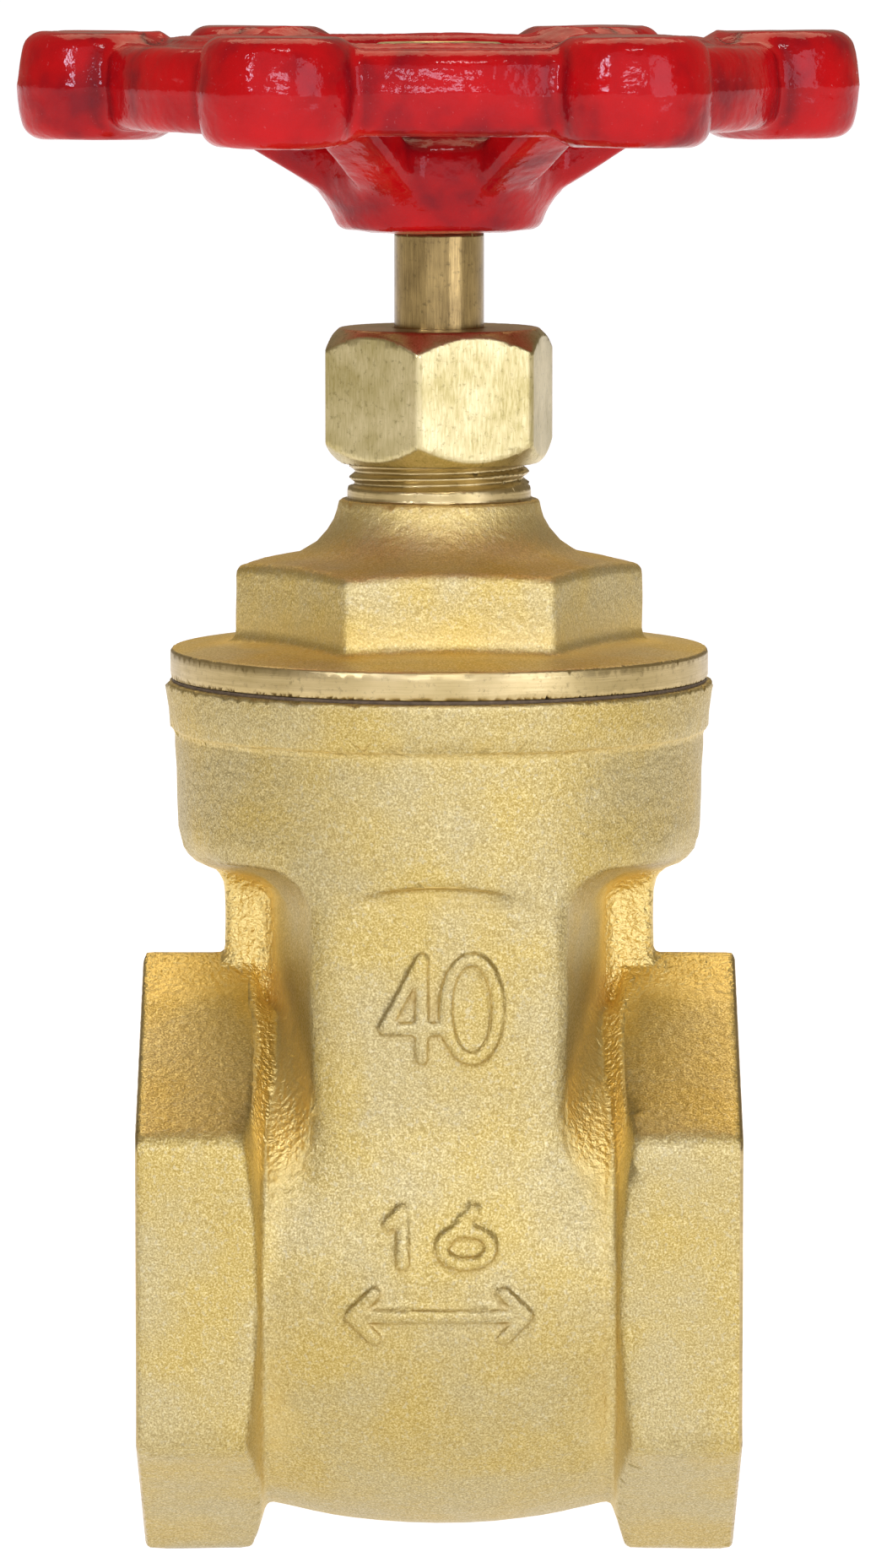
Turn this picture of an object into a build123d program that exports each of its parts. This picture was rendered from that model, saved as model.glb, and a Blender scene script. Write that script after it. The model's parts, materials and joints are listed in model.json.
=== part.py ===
from build123d import *

import os
from math import cos, pi, radians, sin, tan

# Non-rising-stem gate valve with threaded ends, each piece a separate solid.
#
# Millimetres. +X runs along the flow and +Z up the stem. The origin is where the stem axis
# crosses the flow axis. The valve is drawn fully open: the wedge is raised clear of the bore, and
# turning the handwheel clockwise, seen from above, screws it down by WEDGE_LIFT onto its seats.

# ---- Waterway and end connections
BORE_R = 18.0                  # clear waterway through the seats
PORT_R = 22.3                  # crest radius of the internal pipe thread, nominal size 1 1/2 inch
PORT_DEPTH = 17.0              # threaded length of each end
PORT_LEAD_R = 24.1             # countersunk lead-in at the mouth
END_X = 31.1                   # half the overall length
PORT_FLOOR_X = END_X - PORT_DEPTH

# ---- Hexagonal ends
HEX_FLAT_R = 27.8              # half the distance across flats
HEX_ROUND_R = 31.7             # the six corners are turned down to this radius
HEX_INNER_X = 18.6             # inner face of the hexagon, at the middle of a flat
HEX_INNER_SLOPE = 0.33         # the inner face leans outwards towards the corners
HEX_END_BEVEL = 1.2

# ---- Cast body
BARREL_R = 28.6                # round belly about the flow axis, at the middle
BARREL_END_R = 26.4            # and where it meets the hexagons
COLUMN_FRONT_Y = 25.9          # slightly bowed front and back of the gate housing, at the middle
COLUMN_BOW_R = 70.0
COLUMN_HALF_X = 12.6           # half width of the housing at the front
COLUMN_ROOT_X = 17.6           # and where it meets the webs
COLUMN_TOP_Z = 41.5            # the front steps out to the round neck here
WEB_X = 22.4                   # thin webs that tie the neck to the hexagons
WEB_HALF_Y = 2.5
POCKET_R = 2.2                 # hollows between neck, housing, web and hexagon
POCKET_BOTTOM_Z = 4.0
NECK_BOTTOM_Z = 42.3
NECK_LOW_R = 27.2
NECK_HIGH_R = 27.6
RIM_BOTTOM_Z = 55.2            # thicker rim round the mouth of the neck
RIM_LOW_R = 28.1
RIM_HIGH_R = 28.64
RIM_TOP_Z = 60.7
NECK_THREAD_R = 24.55          # bonnet thread in the neck
NECK_THREAD_BOTTOM_Z = 49.6

# ---- Wedge and its housing
WEDGE_LIFT = 39.0
STEM_PITCH = 3.0               # left-hand thread, so clockwise closes
WEDGE_R = 20.5
WEDGE_TAPER_DEG = 5.0          # each face leans by this much
SEAT_HALF_X = 7.9              # seat face to stem axis, at the flow axis
SEAT_R = 20.8                  # outside of the seat rings
SEAT_GAP = 0.05                # between a closed wedge and each seat
CHAMBER_HALF_X = 10.2
CHAMBER_HALF_Y = 21.5
CHAMBER_EDGE_R = 3.0
CHAMBER_TOP_Z = 48.5
THROAT_BOTTOM_Z = 44.4
GUIDE_HALF_X = 1.5             # guide ribs that keep the wedge from turning
GUIDE_TIP_Y = 19.2
GUIDE_BOTTOM_Z = -9.0
GUIDE_GAP = 0.3
BOSS_R = 7.6                   # threaded boss on top of the wedge
BOSS_LOW = 14.0                # heights on the wedge are from its own centre
BOSS_TOP = 29.5
BOSS_THREAD_LOW = 20.5
WEDGE_HOLLOW_R = 4.8
WEDGE_HOLLOW_FLOOR = -17.3

# ---- Bonnet
GASKET_THICK = 0.3
GASKET_IN_R = 24.7
GASKET_OUT_R = 28.0
SKIRT_R = 24.5                 # screws into the neck
SKIRT_IN_R = 21.8
SKIRT_BOTTOM_Z = 50.0
FLANGE_R = 28.13
FLANGE_BOTTOM_Z = RIM_TOP_Z + GASKET_THICK
FLANGE_TOP_Z = 64.0
FLANGE_EDGE = 0.4
BONNET_HEX_FLAT_R = 18.6
BONNET_HEX_ROUND_R = 21.15
BONNET_HEX_TURN_DEG = 3.4
BONNET_HEX_TOP_Z = 73.2
BONNET_HEX_EDGE = 0.9
CROWN_Z = 74.1                 # the hexagon's sloping top ends here
CROWN_R = 15.6
FLARE_R = 12.0                 # middle of the hollow curve from the hexagon up to the neck
FLARE_Z = 75.95
NECK_TOP_R = 10.5
NECK_TOP_Z = 79.6
NECK_TOP_EDGE = 0.3
DOME_BOTTOM_Z = 54.0           # hollow that takes the raised wedge and its boss
DOME_SHOULDER_R = 10.5
DOME_SHOULDER_Z = 62.5
DOME_TOP_R = 8.2
DOME_NARROW_Z = 64.8
DOME_TOP_Z = 69.6
JOURNAL_GAP = 0.05

# ---- Stuffing box and packing nut
BOX_R = 6.8
BOX_FLOOR_Z = 76.5
BOX_TOP_Z = 89.5
NECK_SCREW_R = 9.45            # M19 fine thread outside the stuffing box
THRUST_WASHER = 0.8
COLLAR_R = 6.3
COLLAR_THICK = 2.2
PLAY = 0.05                    # above and below the collar
PACKING_WASHER = 0.8
PACKING_RING = 2.2
PACKING_RINGS = ("lower", "middle", "upper")
RING_GAP = 0.04                # packing to stem
WASHER_GAP = 0.08              # loose washers and gland to stem
BOX_GAP = 0.1                  # loose washers to the stuffing box wall
GLAND_LENGTH = 5.0
GLAND_HEAD = 1.8
GLAND_HEAD_R = 8.6
NUT_FLAT_R = 11.0
NUT_TURN_DEG = 20.0
NUT_BOTTOM_Z = 83.4
NUT_TOP_Z = 97.5
NUT_FACE_R = 10.4              # chamfered end faces
NUT_TOP_BEVEL = 2.4
NUT_BOTTOM_BEVEL = 2.05

# ---- Stem
STEM_R = 4.7
STEM_THREAD_R = 4.5
STEM_BOTTOM_Z = 22.0
STEM_THREAD_TOP_Z = 69.4
STEM_SQUARE = 7.0              # across flats, fits the handwheel
STEM_SCREW_R = 4.0             # M8
STEM_TOP_Z = 127.0
STEM_BEVEL = 0.8
STEM_SHOULDER = 0.4

# ---- Handwheel
HUB_BOTTOM_Z = 107.8
HUB_TOP_Z = 119.5
HUB_R = 10.5
HUB_WIDE_R = 11.3
HUB_WIDE_Z = 111.0
HUB_TOP_R = 9.6
HUB_EDGE = 1.0
HUB_TOP_SLOPE = 3.0            # height over which the hub narrows at the top
SQUARE_GAP = 0.05
RIM_MIDDLE_R = 31.3
WHEEL_RIM_WIDTH = 8.8
WHEEL_RIM_HEIGHT = 8.7
WHEEL_RIM_Z = 122.6
WHEEL_RIM_FILLET = 2.0
LOBES = 6
LOBE_CIRCLE_R = 35.5
LOBE_R = 8.3
LOBE_HEIGHT = 11.1
LOBE_FILLET = 1.8
LOBE_Z = 122.7
LOBE_FIRST_DEG = -57.0         # direction of the first lobe, from +X about +Z
DISH_SLOPE = 0.62              # the dish that carries the rim climbs outwards from the hub
DISH_THICK = 5.2
DISH_IN_R = 8.0
DISH_OUT_R = 28.0
SPOKE_WIDTH = 7.0              # one straight spoke runs to each lobe, between two windows
WINDOW_IN_R = 12.2
WINDOW_OUT_R = 26.3
WINDOW_CORNER_R = 2.0

# ---- Handwheel fixing
WASHER_THICK = 1.1
WASHER_R = 8.0
WASHER_IN_R = 4.2
WHEEL_NUT_FLAT_R = 6.5
WHEEL_NUT_HEIGHT = 6.5
WHEEL_NUT_TURN_DEG = 11.0
SCREW_GAP = 0.03


def turned(points):
    """Solid of revolution about Z from a closed outline of (radius, height) points."""
    return revolve(Plane.XZ * make_face(Polyline(*points, close=True)), Axis.Z)


def ring(inner_r, outer_r, low_z, high_z):
    """Plain flat ring about Z."""
    return turned([(inner_r, low_z), (outer_r, low_z), (outer_r, high_z), (inner_r, high_z)])


def rod(radius, low_z, high_z):
    """Plain cylinder about Z."""
    return Pos(0, 0, (low_z + high_z) / 2) * Cylinder(radius, high_z - low_z)


def along_x(radius, low_x, high_x):
    """Plain cylinder about the flow axis."""
    return Pos((low_x + high_x) / 2, 0, 0) * Rot(0, 90, 0) * Cylinder(radius, high_x - low_x)


def hexagon(flat_r, low_z, high_z, turn_deg):
    """Hexagonal prism about Z, with one flat's normal turned turn_deg from -Y towards +X."""
    outline = RegularPolygon(flat_r, 6, major_radius=False, rotation=turn_deg)
    return Pos(0, 0, low_z) * extrude(outline, high_z - low_z)


def both_ends(piece):
    """A piece of one end and its mirror image at the other end."""
    return piece + mirror(piece, Plane.YZ)


# ---- Body

def end_hexagon():
    """Wrench hexagon at the +X end, with turned corners and a dished inner face."""
    outline = Plane.YZ * RegularPolygon(HEX_FLAT_R, 6, major_radius=False, rotation=30)
    prism = extrude(outline, END_X)
    top_x = HEX_INNER_X + HEX_INNER_SLOPE * (HEX_ROUND_R - HEX_FLAT_R)
    axis_x = HEX_INNER_X - HEX_INNER_SLOPE * HEX_FLAT_R
    envelope = make_face(Polyline(
        (axis_x, 0), (top_x, HEX_ROUND_R), (END_X - HEX_END_BEVEL, HEX_ROUND_R),
        (END_X, HEX_ROUND_R - HEX_END_BEVEL), (END_X, 0), close=True))
    return prism & revolve(envelope, Axis.X)


def barrel():
    """Round belly between the hexagons."""
    reach = HEX_INNER_X + 1.0
    belly = ThreePointArc((-reach, BARREL_END_R), (0, BARREL_R), (reach, BARREL_END_R))
    sides = Polyline((reach, BARREL_END_R), (reach, 0), (-reach, 0), (-reach, BARREL_END_R))
    return revolve(make_face(Curve() + [belly, sides]), Axis.X)


def upper_block():
    """Round neck with its thicker rim, carried down to the barrel as one round bar."""
    return turned([(0, 0), (NECK_LOW_R, 0), (NECK_LOW_R, NECK_BOTTOM_Z), (NECK_HIGH_R, RIM_BOTTOM_Z - 0.2),
                   (RIM_LOW_R, RIM_BOTTOM_Z), (RIM_HIGH_R, RIM_TOP_Z), (0, RIM_TOP_Z)])


def front_clearance():
    """What is cut from the block below the neck to leave the housing's bowed front."""
    reach = 2 * COLUMN_ROOT_X
    side_y = COLUMN_FRONT_Y - COLUMN_BOW_R + (COLUMN_BOW_R ** 2 - reach ** 2) ** 0.5
    bow = ThreePointArc((-reach, -side_y), (0, -COLUMN_FRONT_Y), (reach, -side_y))
    rest = Polyline((reach, -side_y), (reach, -2 * NECK_LOW_R), (-reach, -2 * NECK_LOW_R), (-reach, -side_y))
    return extrude(make_face(Curve() + [bow, rest]), COLUMN_TOP_Z)


def corner_pocket():
    """Hollow under the neck beside the housing and the web, at the front right."""
    far = 2 * NECK_LOW_R
    lean = (COLUMN_ROOT_X - COLUMN_HALF_X) / (COLUMN_FRONT_Y - WEB_HALF_Y)
    outer_x = COLUMN_HALF_X - lean * (far - COLUMN_FRONT_Y)
    outline = Polyline((outer_x, -far), (COLUMN_ROOT_X, -WEB_HALF_Y), (WEB_X, -WEB_HALF_Y), (WEB_X, 0),
                       (far, 0), (far, -far), close=True)
    block = Pos(0, 0, POCKET_BOTTOM_Z) * extrude(make_face(outline), NECK_BOTTOM_Z - POCKET_BOTTOM_Z)
    roof = block.faces().sort_by(Axis.Z)[-1]
    inner = [edge for edge in roof.edges() if (edge @ 0.5).X < WEB_X + 1.0 and (edge @ 0.5).Y > -far]
    return fillet(inner, POCKET_R)


def taper_prism(half_x, reach_y, low_z, high_z):
    """Prism between two planes that lean apart upwards, half_x from the stem at height 0."""
    lean = tan(radians(WEDGE_TAPER_DEG))
    low_half = half_x + low_z * lean
    high_half = half_x + high_z * lean
    outline = Plane.XZ * make_face(Polyline((-low_half, low_z), (low_half, low_z),
                                            (high_half, high_z), (-high_half, high_z), close=True))
    return extrude(outline, reach_y, both=True)


def gate_chamber():
    """Space in which the wedge slides: round below, a rounded slot above."""
    slot = Pos(0, 0, CHAMBER_TOP_Z / 2) * Box(2 * CHAMBER_HALF_X, 2 * CHAMBER_HALF_Y, CHAMBER_TOP_Z)
    slot = fillet(slot.edges().filter_by(Axis.Z), CHAMBER_EDGE_R)
    return slot + along_x(CHAMBER_HALF_Y, -CHAMBER_HALF_X, CHAMBER_HALF_X)


def seat_rings():
    """Two raised rings whose faces lean with the wedge."""
    blank = along_x(SEAT_R, -CHAMBER_HALF_X - 0.5, CHAMBER_HALF_X + 0.5)
    return blank - taper_prism(SEAT_HALF_X, 2 * SEAT_R, -2 * SEAT_R, 2 * SEAT_R)


def guide_ribs():
    """Two upright ribs in the chamber that run in the wedge's grooves."""
    depth = CHAMBER_HALF_Y + 1.0 - GUIDE_TIP_Y
    height = CHAMBER_TOP_Z - 1.0 - GUIDE_BOTTOM_Z
    rib = Box(2 * GUIDE_HALF_X, depth, height)
    middle_z = GUIDE_BOTTOM_Z + height / 2
    near = Pos(0, -GUIDE_TIP_Y - depth / 2, middle_z) * rib
    return near + mirror(near, Plane.XZ)


def port():
    """Threaded bore and its countersunk mouth at the +X end."""
    lead = PORT_LEAD_R - PORT_R
    outline = make_face(Polyline((PORT_FLOOR_X, 0), (PORT_FLOOR_X, PORT_R), (END_X - lead, PORT_R),
                                 (END_X + 1.0, PORT_LEAD_R + 1.0), (END_X + 1.0, 0), close=True))
    return revolve(outline, Axis.X)


def make_body():
    front = front_clearance()
    pockets = both_ends(corner_pocket())
    upper = upper_block() - front - mirror(front, Plane.XZ) - pockets - mirror(pockets, Plane.XZ)
    outside = barrel() + both_ends(end_hexagon()) + upper
    throat = rod(SKIRT_IN_R, THROAT_BOTTOM_Z, NECK_THREAD_BOTTOM_Z)
    bonnet_thread = rod(NECK_THREAD_R, NECK_THREAD_BOTTOM_Z, RIM_TOP_Z)
    hollow = gate_chamber() + throat + bonnet_thread
    inside = seat_rings() + guide_ribs()
    return outside - hollow + inside - along_x(BORE_R, -END_X, END_X) - both_ends(port())


# ---- Wedge

def make_wedge():
    """Solid wedge, drilled from the top for the stem, drawn at its raised height."""
    disc = along_x(WEDGE_R, -CHAMBER_HALF_X, CHAMBER_HALF_X)
    disc &= taper_prism(SEAT_HALF_X - SEAT_GAP, 2 * WEDGE_R, -WEDGE_R, WEDGE_R)
    solid = disc + rod(BOSS_R, BOSS_LOW, BOSS_TOP)
    solid -= rod(WEDGE_HOLLOW_R, WEDGE_HOLLOW_FLOOR, BOSS_THREAD_LOW)
    solid -= rod(STEM_THREAD_R + JOURNAL_GAP, BOSS_THREAD_LOW, BOSS_TOP + 1.0)
    floor_y = GUIDE_TIP_Y - GUIDE_GAP
    depth = WEDGE_R - floor_y
    groove = Pos(0, floor_y + depth / 2, 0) * Box(2 * (GUIDE_HALF_X + GUIDE_GAP), depth, 2 * WEDGE_R)
    solid -= groove + mirror(groove, Plane.XZ)
    return Pos(0, 0, WEDGE_LIFT) * solid


# ---- Bonnet

def make_gasket():
    return ring(GASKET_IN_R, GASKET_OUT_R, RIM_TOP_Z, FLANGE_BOTTOM_Z)


def bonnet_hexagon():
    """Wrench hexagon with turned corners and a top that slopes up towards the neck."""
    prism = hexagon(BONNET_HEX_FLAT_R, FLANGE_BOTTOM_Z, CROWN_Z, BONNET_HEX_TURN_DEG)
    envelope = turned([(0, FLANGE_BOTTOM_Z), (BONNET_HEX_ROUND_R, FLANGE_BOTTOM_Z),
                       (BONNET_HEX_ROUND_R, BONNET_HEX_TOP_Z - BONNET_HEX_EDGE),
                       (BONNET_HEX_ROUND_R - BONNET_HEX_EDGE, BONNET_HEX_TOP_Z), (CROWN_R, CROWN_Z),
                       (0, CROWN_Z)])
    return prism & envelope


def bonnet_neck():
    """Flared neck that rises from the hexagon to the stuffing box."""
    edge_z = NECK_TOP_Z - NECK_TOP_EDGE
    flare = ThreePointArc((CROWN_R, CROWN_Z), (FLARE_R, FLARE_Z), (NECK_TOP_R, edge_z))
    rest = Polyline((NECK_TOP_R, edge_z), (NECK_TOP_R - NECK_TOP_EDGE, NECK_TOP_Z), (0, NECK_TOP_Z),
                    (0, FLANGE_TOP_Z), (CROWN_R, FLANGE_TOP_Z), (CROWN_R, CROWN_Z))
    return revolve(Plane.XZ * make_face(Curve() + [flare, rest]), Axis.Z)


def make_bonnet():
    flange = turned([(0, FLANGE_BOTTOM_Z), (FLANGE_R, FLANGE_BOTTOM_Z),
                     (FLANGE_R, FLANGE_TOP_Z - FLANGE_EDGE), (FLANGE_R - FLANGE_EDGE, FLANGE_TOP_Z),
                     (BONNET_HEX_ROUND_R, FLANGE_TOP_Z + FLANGE_EDGE), (0, FLANGE_TOP_Z + FLANGE_EDGE)])
    outside = flange + rod(SKIRT_R, SKIRT_BOTTOM_Z, FLANGE_BOTTOM_Z) + bonnet_hexagon() + bonnet_neck()
    outside += rod(NECK_SCREW_R, NECK_TOP_Z, BOX_TOP_Z)
    dome = turned([(0, SKIRT_BOTTOM_Z), (SKIRT_IN_R, SKIRT_BOTTOM_Z), (SKIRT_IN_R, DOME_BOTTOM_Z),
                   (DOME_SHOULDER_R, DOME_SHOULDER_Z), (DOME_TOP_R, DOME_NARROW_Z),
                   (DOME_TOP_R, DOME_TOP_Z), (0, DOME_TOP_Z)])
    journal = rod(STEM_R + JOURNAL_GAP, DOME_TOP_Z, BOX_FLOOR_Z)
    return outside - dome - journal - rod(BOX_R, BOX_FLOOR_Z, BOX_TOP_Z)


# ---- Stuffing box

COLLAR_BOTTOM_Z = BOX_FLOOR_Z + THRUST_WASHER + PLAY
COLLAR_TOP_Z = COLLAR_BOTTOM_Z + COLLAR_THICK
PACKING_WASHER_Z = COLLAR_TOP_Z + PLAY
PACKING_Z = PACKING_WASHER_Z + PACKING_WASHER
GLAND_Z = PACKING_Z + len(PACKING_RINGS) * PACKING_RING
GLAND_TOP_Z = GLAND_Z + GLAND_LENGTH


def make_gland():
    """Flanged bush that the packing nut presses down onto the packing."""
    inner_r = STEM_R + WASHER_GAP
    bush = ring(inner_r, BOX_R - BOX_GAP, GLAND_Z, GLAND_TOP_Z)
    return bush + ring(inner_r, GLAND_HEAD_R, GLAND_TOP_Z - GLAND_HEAD, GLAND_TOP_Z)


def make_packing_nut():
    prism = hexagon(NUT_FLAT_R, NUT_BOTTOM_Z, NUT_TOP_Z, NUT_TURN_DEG)
    corner_r = NUT_FLAT_R / cos(pi / 6)
    envelope = turned([(0, NUT_BOTTOM_Z), (NUT_FACE_R, NUT_BOTTOM_Z),
                       (corner_r, NUT_BOTTOM_Z + NUT_BOTTOM_BEVEL),
                       (corner_r, NUT_TOP_Z - NUT_TOP_BEVEL), (NUT_FACE_R, NUT_TOP_Z), (0, NUT_TOP_Z)])
    hollow = rod(NECK_SCREW_R + SCREW_GAP, NUT_BOTTOM_Z, GLAND_TOP_Z)
    return (prism & envelope) - hollow - rod(STEM_R + WASHER_GAP, GLAND_TOP_Z, NUT_TOP_Z)


# ---- Stem

def make_stem():
    """One turned bar: thread, journal, collar, packed length, square and screwed end."""
    stem = turned([(0, STEM_BOTTOM_Z), (STEM_THREAD_R - STEM_BEVEL, STEM_BOTTOM_Z),
                   (STEM_THREAD_R, STEM_BOTTOM_Z + STEM_BEVEL), (STEM_THREAD_R, STEM_THREAD_TOP_Z),
                   (STEM_R, STEM_THREAD_TOP_Z + STEM_SHOULDER), (STEM_R, HUB_BOTTOM_Z), (0, HUB_BOTTOM_Z)])
    stem += rod(COLLAR_R, COLLAR_BOTTOM_Z, COLLAR_TOP_Z)
    square_height = HUB_TOP_Z - HUB_BOTTOM_Z
    square = Pos(0, 0, HUB_BOTTOM_Z + square_height / 2) * Box(STEM_SQUARE, STEM_SQUARE, square_height)
    stem += square & rod(STEM_R, HUB_BOTTOM_Z, HUB_TOP_Z)
    return stem + turned([(0, HUB_TOP_Z), (STEM_SCREW_R, HUB_TOP_Z),
                          (STEM_SCREW_R, STEM_TOP_Z - STEM_BEVEL),
                          (STEM_SCREW_R - STEM_BEVEL, STEM_TOP_Z), (0, STEM_TOP_Z)])


# ---- Handwheel

def wheel_rim():
    section = RectangleRounded(WHEEL_RIM_WIDTH, WHEEL_RIM_HEIGHT, WHEEL_RIM_FILLET)
    return revolve(Plane.XZ * Pos(RIM_MIDDLE_R, WHEEL_RIM_Z) * section, Axis.Z)


def wheel_lobe():
    """Finger grip on the rim, drawn on the +X side."""
    puck = Cylinder(LOBE_R, LOBE_HEIGHT)
    puck = fillet(puck.edges().filter_by(GeomType.CIRCLE), LOBE_FILLET)
    return Pos(LOBE_CIRCLE_R, 0, LOBE_Z) * puck


def wheel_hub():
    return turned([(0, HUB_BOTTOM_Z), (HUB_R - HUB_EDGE, HUB_BOTTOM_Z), (HUB_R, HUB_BOTTOM_Z + HUB_EDGE),
                   (HUB_WIDE_R, HUB_WIDE_Z), (HUB_WIDE_R, HUB_TOP_Z - HUB_TOP_SLOPE),
                   (HUB_TOP_R, HUB_TOP_Z), (0, HUB_TOP_Z)])


def wheel_dish():
    """Cone between hub and rim, pierced by windows that leave a straight spoke towards each lobe."""
    low_z = HUB_WIDE_Z - DISH_SLOPE * (HUB_WIDE_R - DISH_IN_R)
    high_z = HUB_WIDE_Z + DISH_SLOPE * (DISH_OUT_R - HUB_WIDE_R)
    dish = turned([(DISH_IN_R, low_z), (DISH_OUT_R, high_z), (DISH_OUT_R, high_z + DISH_THICK),
                   (DISH_IN_R, low_z + DISH_THICK)])
    windows = ring(WINDOW_IN_R, WINDOW_OUT_R, low_z, high_z + DISH_THICK)
    for direction in lobe_directions()[:LOBES // 2]:
        windows -= Rot(0, 0, direction) * Pos(0, 0, low_z) * Box(2 * DISH_OUT_R, SPOKE_WIDTH, low_z)
    return dish - fillet(windows.edges().filter_by(Axis.Z), WINDOW_CORNER_R)


def lobe_directions():
    return [LOBE_FIRST_DEG + place * 360 / LOBES for place in range(LOBES)]


def make_handwheel():
    wheel = wheel_dish() + wheel_hub() + wheel_rim()
    for direction in lobe_directions():
        wheel += Rot(0, 0, direction) * wheel_lobe()
    opening = STEM_SQUARE + 2 * SQUARE_GAP
    square = Pos(0, 0, HUB_BOTTOM_Z) * Box(opening, opening, 2 * HUB_BOTTOM_Z)
    return wheel - (square & rod(STEM_R + SQUARE_GAP, HUB_BOTTOM_Z, HUB_TOP_Z))


def make_washer():
    return ring(WASHER_IN_R, WASHER_R, HUB_TOP_Z, HUB_TOP_Z + WASHER_THICK)


def make_wheel_nut():
    low_z = HUB_TOP_Z + WASHER_THICK
    high_z = low_z + WHEEL_NUT_HEIGHT
    corner_r = WHEEL_NUT_FLAT_R / cos(pi / 6)
    bevel = corner_r - WHEEL_NUT_FLAT_R
    prism = hexagon(WHEEL_NUT_FLAT_R, low_z, high_z, WHEEL_NUT_TURN_DEG)
    envelope = turned([(0, low_z), (WHEEL_NUT_FLAT_R, low_z), (corner_r, low_z + bevel / 2),
                       (corner_r, high_z - bevel / 2), (WHEEL_NUT_FLAT_R, high_z), (0, high_z)])
    return (prism & envelope) - rod(STEM_SCREW_R + SCREW_GAP, low_z, high_z)


# ---- All pieces

def loose_washer(low_z, high_z):
    """Washer that lies in the stuffing box round the stem."""
    return ring(STEM_R + WASHER_GAP, BOX_R - BOX_GAP, low_z, high_z)


def make_pieces():
    pieces = {
        "body": make_body(),
        "bonnet": make_bonnet(),
        "bonnet_gasket": make_gasket(),
        "wedge": make_wedge(),
        "stem": make_stem(),
        "thrust_washer": loose_washer(BOX_FLOOR_Z, BOX_FLOOR_Z + THRUST_WASHER),
        "packing_washer": loose_washer(PACKING_WASHER_Z, PACKING_Z),
        "gland_follower": make_gland(),
        "packing_nut": make_packing_nut(),
        "handwheel": make_handwheel(),
        "handwheel_washer": make_washer(),
        "handwheel_nut": make_wheel_nut(),
    }
    for place, name in enumerate(PACKING_RINGS):
        low_z = PACKING_Z + place * PACKING_RING
        pieces["packing_ring_" + name] = ring(STEM_R + RING_GAP, BOX_R - PLAY, low_z,
                                              low_z + PACKING_RING)
    return pieces


os.makedirs("parts", exist_ok=True)
for node, solid in make_pieces().items():
    export_step(solid, "parts/" + node + ".step")
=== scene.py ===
import json
import math

import bpy
import numpy as np
import openvdb
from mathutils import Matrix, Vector


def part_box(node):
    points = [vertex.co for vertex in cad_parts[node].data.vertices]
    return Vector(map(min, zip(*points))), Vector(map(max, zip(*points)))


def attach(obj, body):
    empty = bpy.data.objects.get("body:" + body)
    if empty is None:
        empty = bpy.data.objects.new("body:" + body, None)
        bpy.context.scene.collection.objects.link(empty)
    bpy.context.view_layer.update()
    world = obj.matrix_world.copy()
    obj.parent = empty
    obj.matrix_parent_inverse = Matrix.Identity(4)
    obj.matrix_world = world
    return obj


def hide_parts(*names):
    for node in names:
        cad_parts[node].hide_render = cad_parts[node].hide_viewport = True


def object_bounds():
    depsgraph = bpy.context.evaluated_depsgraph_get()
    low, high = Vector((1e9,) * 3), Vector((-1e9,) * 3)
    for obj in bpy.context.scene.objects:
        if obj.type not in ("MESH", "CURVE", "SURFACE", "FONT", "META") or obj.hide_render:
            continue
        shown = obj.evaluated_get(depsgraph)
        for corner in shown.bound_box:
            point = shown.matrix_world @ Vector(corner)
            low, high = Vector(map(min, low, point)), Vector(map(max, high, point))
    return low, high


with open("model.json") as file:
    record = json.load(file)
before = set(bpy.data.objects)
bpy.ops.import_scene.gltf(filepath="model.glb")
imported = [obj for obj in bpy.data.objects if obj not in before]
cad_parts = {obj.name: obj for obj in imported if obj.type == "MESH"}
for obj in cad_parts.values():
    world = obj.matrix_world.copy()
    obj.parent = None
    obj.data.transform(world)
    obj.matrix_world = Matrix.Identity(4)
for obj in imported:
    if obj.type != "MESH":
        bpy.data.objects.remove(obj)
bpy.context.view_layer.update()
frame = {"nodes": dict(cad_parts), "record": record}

# The casting shapes below are distance fields, negative inside, in millimetres in the shared frame.
# A field becomes a mesh in metres only in build_piece.

MM = 0.001
TAU = 2 * math.pi


def box_mm(node):
    """Lowest and highest corner of a CAD node, in millimetres."""
    low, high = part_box(node)
    return np.array(low) / MM, np.array(high) / MM


# ---- Distance fields

class Grid:
    """Sample points in and around a box, in millimetres."""

    def __init__(self, low, high, step):
        margin = 4 * step
        self.low = np.asarray(low, dtype=float) - margin
        self.step = step
        counts = np.ceil((np.asarray(high) + margin - self.low) / step).astype(int) + 1
        axes = [(self.low[i] + step * np.arange(counts[i])).astype(np.float32) for i in range(3)]
        self.x, self.y, self.z = np.meshgrid(*axes, indexing="ij", sparse=True)
        self.shape = tuple(counts)
        self.around_stem = np.sqrt(self.x ** 2 + self.y ** 2)
        self.around_flow = np.sqrt(self.y ** 2 + self.z ** 2)


def join(a, b, fillet=0.0):
    """Both solids, with a concave fillet where they meet."""
    u = np.maximum(fillet - a, 0.0)
    v = np.maximum(fillet - b, 0.0)
    return np.maximum(fillet, np.minimum(a, b)) - np.sqrt(u * u + v * v)


def meet(a, b, edge=0.0):
    """What the two solids share, with a rounded edge where their surfaces cross."""
    return -join(-a, -b, edge)


def cut(a, b, edge=0.0):
    """The first solid without the second, with a rounded edge round the mouth."""
    return meet(a, -b, edge)


def slab(value, low, high):
    """What lies between two values of a coordinate."""
    return np.maximum(low - value, value - high)


def hexagon(u, v, flat, corner, turn_deg=0.0):
    """Hexagonal bar; one flat's normal is turned from the u axis towards the v axis."""
    bar = None
    for side_deg in (0, 60, 120):
        angle = math.radians(turn_deg + side_deg)
        side = np.abs(u * math.cos(angle) + v * math.sin(angle)) - flat
        bar = side if bar is None else meet(bar, side, corner)
    return bar


THREAD_STEEPNESS = 1.4         # 1 gives sharp crests and roots, more gives wider flats on both


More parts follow.
